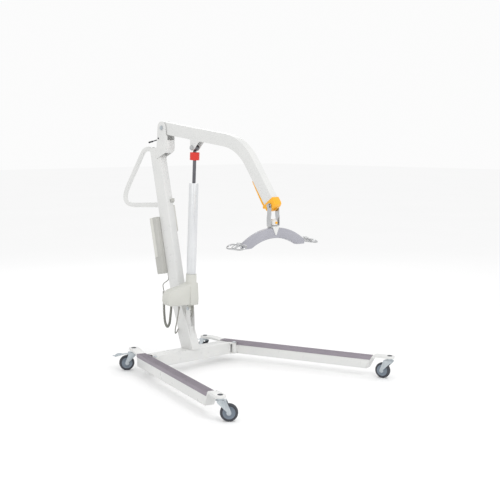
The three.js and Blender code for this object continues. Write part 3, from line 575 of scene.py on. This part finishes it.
# ---- pieces whose CAD shape is kept and softened: finish, slot, edge radius, segments ----
softenedPieces = {
    "crossbeam": (framePaint, "frame", 1.8, 3),
    "mast_foot": (framePaint, "frame", 0.8, 2),
    "mast_head_yoke": (framePaint, "frame", 0.9, 2),
    "leg_left": (framePaint, "frame", 1.2, 3),
    "leg_right": (framePaint, "frame", 1.2, 3),
    "leg_front_bracket_left": (framePaint, "frame", 1.4, 3),
    "leg_front_bracket_right": (framePaint, "frame", 1.4, 3),
    "spreader_hub": (framePaint, "frame", 1.0, 3),
    "leg_pivot_pin_left": (zincPlate, "steel", 0.8, 2),
    "leg_pivot_pin_right": (zincPlate, "steel", 0.8, 2),
    "actuator_base_pin": (zincPlate, "steel", 0.7, 2),
    "clevis_bolt_head": (polishedSteel, "steel", 0.7, 2),
    "clevis_bolt_nut": (polishedSteel, "steel", 0.5, 2),
    "hanger_pin": (polishedSteel, "steel", 0.7, 2),
    "boom_pivot_bolt": (zincPlate, "steel", 0.8, 2),
    "lock_lever": (darkPlastic, "steel", 0.6, 2),
    "control_box": (controllerGrey, "controller_grey", 1.5, 3),
    "battery_pack": (coverGrey, "cover_grey", 1.5, 3),
    "emergency_stop": (signalRed, "red", 1.4, 3),
    "handset": (coverGrey, "cover_grey", 1.2, 3),
    "handset_rocker_lift": (darkPlastic, "dark_plastic", 0.7, 2),
    "handset_rocker_legs": (darkPlastic, "dark_plastic", 0.7, 2),
    "handset_hook": (controllerGrey, "controller_grey", 0.5, 2),
    "boom_end_cap": (signalYellow, "yellow", 1.6, 3),
    "release_lever": (signalYellow, "yellow", 1.2, 3),
    "hub_button": (signalYellow, "yellow", 0.9, 2),
    "motor_housing": (motorGrey, "cover_grey", 2.2, 3),
    "actuator_tube": (satinAluminium, "aluminium", 0.8, 2),
    "actuator_rod": (darkRod, "steel", 0.6, 2),
    "emergency_collar": (signalRed, "red", 2.2, 3),
    "hanger_stirrup": (polishedSteel, "steel", 0.9, 2),
    "spreader_bar": (spreaderGrey, "spreader_grey", 3.0, 3),
}
for corner in ("rear_right", "rear_left", "front_right", "front_left"):
    softenedPieces["caster_fork_" + corner] = (zincPlate, "zinc", 0.7, 2)
for corner in ("rear_right", "rear_left"):
    softenedPieces["brake_pedal_" + corner] = (zincPlate, "zinc", 0.6, 2)


def makeSoftened():
    for node, (material, slot, width, segments) in softenedPieces.items():
        placed(node + "_shell", softenedMesh(node, width, segments), material, bodyOf(node),
            [node])


makeSoftened()
print("softened pieces made:", len(softenedPieces))


# ---- mast and boom tubes: long outer corners rounded ----
tubeSettings = {"mast": {"corner": 5.0, "segments": 5}, "boom": {"corner": 5.0, "segments": 5}}


def tubeShell(node, s):
    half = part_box(node)[1].y
    bm = bmesh.new()
    bm.from_mesh(nodes[node].data)
    bmesh.ops.remove_doubles(bm, verts=bm.verts, dist=0.00004)
    bmesh.ops.dissolve_limit(bm, angle_limit=math.radians(1.0), verts=bm.verts, edges=bm.edges)
    sharp = [e for e in bm.edges if len(e.link_faces) == 2 and e.calc_face_angle(0) > 0.9
             and all(abs(abs(v.co.y) - half) < 0.0003 for v in e.verts) and e.calc_length() > 0.008]
    bmesh.ops.bevel(bm, geom=sharp, offset=s["corner"] * mm, segments=s["segments"], profile=0.5,
        affect="EDGES",
                    clamp_overlap=True)
    bmesh.ops.triangulate(bm, faces=[f for f in bm.faces if len(f.verts) > 4])
    mesh = bpy.data.meshes.new(node)
    bm.to_mesh(mesh)
    bm.free()
    smoothed(mesh)
    return mesh


for node, s in tubeSettings.items():
    placed(node + "_shell", tubeShell(node, s), framePaint, bodyOf(node), [node])
print("mast and boom made")


# ---- push handle ----
handleSettings = {
    "run": [(-134, 0, 1158), (-208, 0, 1168), (-448, 0, 843), (-68, 0, 862)], "radius": 13.0,
    "bend": 70.0, "weld": 2.2}


def makeHandle(s):
    path = roundedPath([at(*p) for p in s["run"]], s["bend"] * mm, 18)
    first, last = path[0], path[-1]
    inA, inB = (path[1] - first).normalized(), (path[-2] - last).normalized()
    bead = [(2.5, s["weld"]), (4.5, s["weld"] * 0.9), (6.5, 0.4), (7.5, 0.0)]
    full = [first] + [first + inA * (d * mm) for d, _ in bead] + path[1:-1]
    full += [last + inB * (d * mm) for d, _ in reversed(bead)] + [last]
    radii = [s["radius"] + s["weld"]] + [s["radius"] + w for _,
        w in bead] + [s["radius"]] * (len(path) - 2)
    radii += [s["radius"] + w for _, w in reversed(bead)] + [s["radius"] + s["weld"]]
    mesh = tubeMesh(full, 0, 28, [r * mm for r in radii])
    placed("push_handle_tube", mesh, framePaint, "chassis", ["push_handle"])


makeHandle(handleSettings)


# ---- ribbed pads on the legs ----
padSettings = {"ribs": 11, "ribWidth": 2.3, "ribHeight": 1.1, "edge": 5.0, "screwBack": 14.0}


def padRib(left, s):    # one rib along the pad's middle, ends cut to the slant
    low, high = padEnds(left)
    half = s["ribWidth"] / 2 * mm
    top = s["ribHeight"] * mm
    section = [(-half, -0.0004), (half, -0.0004), (half * 0.9, top * 0.55), (half * 0.45, top),
        (-half * 0.45, top),
               (-half * 0.9, top * 0.55)]
    along, side = legDirections(left)
    return loft([[end + side * a + Vector((0, 0, b)) for a, b in section] for end in (low, high)])


legSettings = {
    "spread": 17.3, "track": 249, "padTop": 108.3, "stemAlong": 1.06, "stemAcross": 0.3302,
    "padStart": 0.1145,
    "endBehindStem": 0.125, "endSlant": 28, "legHeight": 0.0643, "clearance": 0.0015}


def legDirections(left):
    a = math.radians(legSettings["spread"])
    along = Vector((math.cos(a), math.sin(a) * left, 0))
    return along, Vector((-along.y, along.x, 0))


def padEnds(left):    # top middle of the pad at its two ends
    s = legSettings
    along, _ = legDirections(left)
    stem = at(0, s["track"] * left, s["padTop"])
    frontStem = Vector((s["stemAlong"], s["stemAcross"] * left, 0)).length
    slant = math.tan(math.radians(s["endSlant"])) * s["legHeight"]
    end = frontStem - s["endBehindStem"] + slant - s["clearance"]
    return stem + along * s["padStart"], stem + along * end


def makePads(s):
    for name, left in (("left", 1), ("right", -1)):
        node = "leg_pad_" + name
        _, side = legDirections(left)
        step = side * ((50 - 2 * s["edge"]) / (s["ribs"] - 1) * mm)
        holder = hiddenObject(padRib(left, s))
        made = ribs.run(softenedMesh(node, 0.9, 2), {
            "Rib": holder, "Count": s["ribs"], "Step": step, "Start": step * (-(s["ribs"] - 1) / 2),
            "Material": padMauve})
        bpy.data.objects.remove(holder)
        placed(node + "_ribbed", made, padMauve, bodyOf(node), [node])


makePads(padSettings)
print("pads made")


# ---- wheels ----
wheelSettings = {"headings": {"rear_right": -120, "rear_left": 165, "front_right": 46,
    "front_left": -165}, "half": 12}


def makeWheels(s):
    h = s["half"]
    tyre = [(28.9, -h + 1.4), (29.6, -h + 0.9), (33.5, -h + 0.3), (35.5, -h + 0.6), (37.6, -h + 2.2),
        (39.2, -h + 4.6),
            (39.9, -h + 7), (40, -h + 9), (39.3, -h + 9.4), (39.3, -h + 10.0), (40, -h + 10.4),
            (40, h - 10.4),
            (39.3, h - 10.0), (39.3, h - 9.4), (40, h - 9), (39.9, h - 7), (39.2, h - 4.6),
            (37.6, h - 2.2),
            (35.5, h - 0.6), (33.5, h - 0.3), (29.6, h - 0.9), (28.9, h - 1.4)]
    hub = [(4.6, -h - 1.9), (8.6, -h - 1.9), (9.2, -h - 1.5), (10.4, -h + 2.6), (11.6, -h + 3.4),
        (22.6, -h + 3.4),
           (24.2, -h + 2.8), (25.6, -h + 1.4), (26.6, -h + 1.0), (28.2, -h + 1.2), (28.5, -h + 1.8)]
    hub += [(r, -z) for r, z in reversed(hub)]
    for corner, heading in s["headings"].items():
        low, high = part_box("caster_tyre_" + corner)
        axis = Vector((-math.sin(math.radians(heading)), math.cos(math.radians(heading)), 0))
        turn = Matrix.Translation((low + high) / 2) @ axis.to_track_quat("Z", "X").to_matrix().to_4x4()
        for part, profile, material, slot, sides in (
                ("tyre", tyre, tyreRubber, "tyre", 56), ("hub", hub, hubBlue, "wheel_hub", 48)):
            node = f"caster_{part}_{corner}"
            mesh = closedLathe(profile, sides)
            mesh.transform(turn)
            placed(node + "_turned", mesh, material, bodyOf(node), [node])


def closedLathe(profile, sides):    # a ring: the profile closes on itself
    rings = [[Vector((r * mm * math.cos(a), r * mm * math.sin(a), z * mm))
              for a in [2 * math.pi * i / sides for i in range(sides)]] for r, z in profile]
    return loft(rings, closed=True)


makeWheels(wheelSettings)
print("wheels made")


# ---- hook loops and latches ----
hookSettings = {"reach": 63, "across": 24, "wire": 4.0, "tilt": 25, "middle": 241, "latchHalf": 12,
    "latchWire": 1.8}


def makeHooks(s):
    low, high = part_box("spreader_bar")
    hubX = (low.x + high.x) / 2
    for name, left in (("left", 1), ("right", -1)):
        height = sum(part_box("hook_loop_" + name)[i].z for i in (0, 1)) / 2
        tilt = math.radians(s["tilt"]) * -left
        turn = Matrix.Translation((hubX, left * s["middle"] * mm, height)) @ Matrix.Rotation(tilt, 4,
            "X")

        def local(x, y, z):
            return turn @ Vector((x * mm, y * left * mm, z * mm))

        reach, across = s["reach"] - s["wire"], s["across"] - s["wire"]
        oval = []
        for side in (1, -1):
            for i in range(15):
                a = math.radians(-90 + 180 * i / 14)
                oval.append(local(side * (reach - across + across * math.cos(a)),
                    side * across * math.sin(a), 0))
        frames = []
        for i, p in enumerate(oval):
            ahead = (oval[(i + 1) % len(oval)] - oval[i - 1]).normalized()
            upward = turn.to_3x3() @ Vector((0, 0, 1))
            frames.append((p, ahead.cross(upward), upward))
        loop = loft([ring(f, 16, s["wire"] * mm) for f in frames], closed=True)
        barEnd = [Vector((hubX, left * y * mm, height - 0.002)) for y in (186, 212)]
        stalk = tubeMesh(roundedPath([*barEnd, local(0, -20, 0), local(0, 20, 0)], 0.009, 6), 0.005, 18)
        placed("hook_loop_" + name + "_wire", joined([loop, stalk]), polishedSteel, "spreader",
               ["hook_loop_" + name])
        w, out = s["latchHalf"], s["across"] - 2
        run = roundedPath([local(-w, -24, 8), local(-w, out, 7.2), local(w, out, 7.2),
            local(w, -24, 8)], 0.007, 8)
        pivot = tubeMesh([local(-w - 1.5, -24, 8), local(w + 1.5, -24, 8)], 0.0022, 14)
        latch = joined([tubeMesh(run, s["latchWire"] * mm, 12), pivot])
        placed("hook_latch_" + name + "_wire", latch, polishedSteel, "latch_" + name,
            ["hook_latch_" + name])


makeHooks(hookSettings)
print("hooks made")


# ---- plugs over the caster stems ----
plugProfile = [(0.01, 3.2), (6, 3.0), (10.5, 2.4), (12.4, 1.5), (13, 0.4), (13, -0.6), (0.01, -0.6)]


def makePlugs():
    up = Vector((0, 0, 1))
    for name, left in (("left", 1), ("right", -1)):
        spots = [(at(x, y * left, 118.1), up) for x, y in ((0, 249), (1060, 579.2))]
        scattered("stem_plugs_" + name, latheMesh(plugProfile), spots, darkPlastic, "leg_" + name)


makePlugs()
print("small parts made")


# ---- floor and light ----
floorSettings = {"size": 60.0, "shade": 0.97}
lightSettings = [
    {"name": "keyLight", "place": (3.6, -0.6, 3.4), "size": 1.6, "power": 42},
    {"name": "fillLight", "place": (1.0, -4.2, 2.2), "size": 2.6, "power": 8},
    {"name": "backLight", "place": (-3.0, 2.6, 3.0), "size": 2.0, "power": 14},
]


def makeStudio(floor, lights):
    half = floor["size"] / 2
    mesh = bpy.data.meshes.new("floor")
    mesh.from_pydata([(-half, -half, 0), (half, -half, 0), (half, half, 0), (-half, half, 0)], [],
        [(0, 1, 2, 3)])
    paper = Finish("paper", Roughness=0.9, Specular_IOR_Level=0.0)
    shade = paper.spread(paper.noise(0.8), floor["shade"] - 0.01, floor["shade"])
    grey = paper.node("ShaderNodeCombineColor", {}, {0: shade, 1: shade, 2: shade})
    mesh.materials.append(paper.finished(Base_Color=grey))
    plane = bpy.data.objects.new("floor", mesh)
    bpy.context.scene.collection.objects.link(plane)
    for s in lights:
        data = bpy.data.lights.new(s["name"], "AREA")
        data.shape, data.size, data.energy = "DISK", s["size"], s["power"]
        lamp = bpy.data.objects.new(s["name"], data)
        bpy.context.scene.collection.objects.link(lamp)
        lamp.location = s["place"]
        lamp.rotation_mode = "QUATERNION"
        lamp.rotation_quaternion = (Vector((0, 0, 0.6)) - lamp.location).to_track_quat("-Z", "Y")
    world = bpy.data.worlds.new("studio")
    world.use_nodes = True
    sky = world.node_tree.nodes["Background"]
    sky.inputs["Color"].default_value = (1, 1, 1, 1)
    sky.inputs["Strength"].default_value = 0.97
    bpy.context.scene.world = world
    bpy.context.scene.view_settings.view_transform = "Standard"


makeStudio(floorSettings, lightSettings)
print("studio made")
